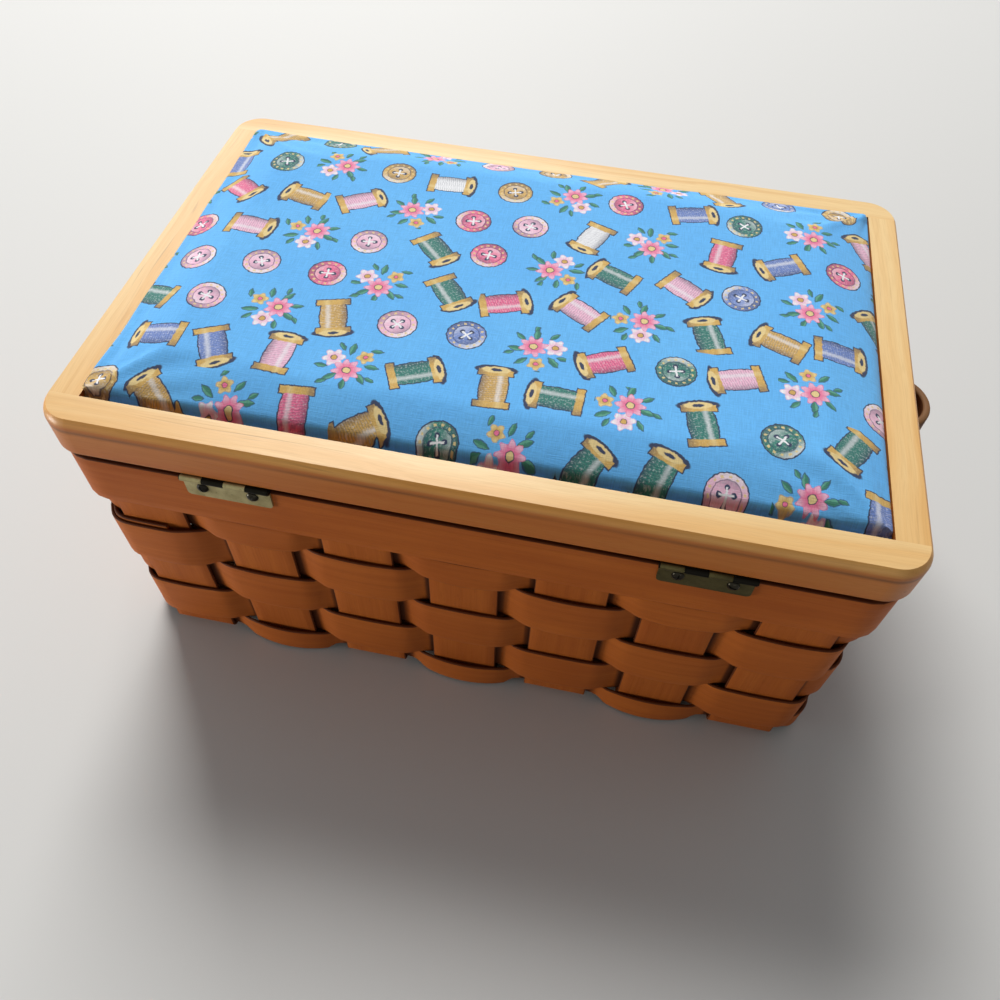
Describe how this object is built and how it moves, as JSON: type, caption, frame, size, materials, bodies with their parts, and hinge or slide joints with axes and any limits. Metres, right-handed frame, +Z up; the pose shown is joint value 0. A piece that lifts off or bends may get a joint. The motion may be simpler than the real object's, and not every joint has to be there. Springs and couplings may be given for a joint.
{
  "type": "woven sewing basket",
  "caption": "Rectangular basket woven from flat wood splints, with a hinged wooden frame lid, a padded printed-cotton panel and bent end handles.",
  "frame": {"origin": "on the floor, below the middle of the lid", "axes": "+Z up, +X along the long side, -Y towards the side that carries the hinges"},
  "size_m": [0.3622, 0.2242, 0.1623],
  "materials": {
    "splint": "satin",
    "rim_splint": "satin",
    "handle_splint": "satin",
    "base_wood": "matte",
    "lid_wood": "satin",
    "dowel_wood": "matte",
    "panel_wood": "matte",
    "wadding": "matte",
    "printed_cotton": "matte",
    "hinge_brass": "satin",
    "hinge_screw": "satin",
    "panel_screw": "satin",
    "tack_brass": "satin",
    "brad_steel": "satin"
  },
  "bodies": {
    "basket": {"cross_stake_1": "splint", "cross_stake_2": "splint", "cross_stake_3": "splint", "cross_stake_4": "splint", "cross_stake_5": "splint", "cross_stake_6": "splint", "cross_stake_7": "splint", "long_stake_1": "splint", "long_stake_2": "splint", "long_stake_3": "splint", "long_stake_4": "splint", "long_stake_5": "splint", "weaver_row_1": "splint", "weaver_row_2": "splint", "weaver_row_3": "splint", "weaver_row_4": "splint", "weaver_row_5": "splint", "outer_rim_band": "rim_splint", "inner_rim_band": "rim_splint", "base_board": "base_wood", "handle_left": "handle_splint", "handle_right": "handle_splint", "hinge_left_rim_leaf": "hinge_brass", "hinge_right_rim_leaf": "hinge_brass", "hinge_left_pin": "hinge_brass", "hinge_right_pin": "hinge_brass", "rim_leaf_screws": "hinge_screw", "handle_tacks": "tack_brass", "rim_brads": "brad_steel"},
    "lid": {"lid_hinge_rail": "lid_wood", "lid_front_rail": "lid_wood", "lid_left_rail": "lid_wood", "lid_right_rail": "lid_wood", "frame_dowels": "dowel_wood", "panel_board": "panel_wood", "panel_pad": "wadding", "panel_cover": "printed_cotton", "panel_screws": "panel_screw", "hinge_left_lid_leaf": "hinge_brass", "hinge_right_lid_leaf": "hinge_brass", "lid_leaf_screws": "hinge_screw"}
  },
  "joints": [
    {"name": "lid_hinge", "type": "hinge", "parent": "basket", "child": "lid", "pos_m": [0, -0.1084, 0.1344], "axis": [1, 0, 0], "range_deg": [0, 170]}
  ]
}
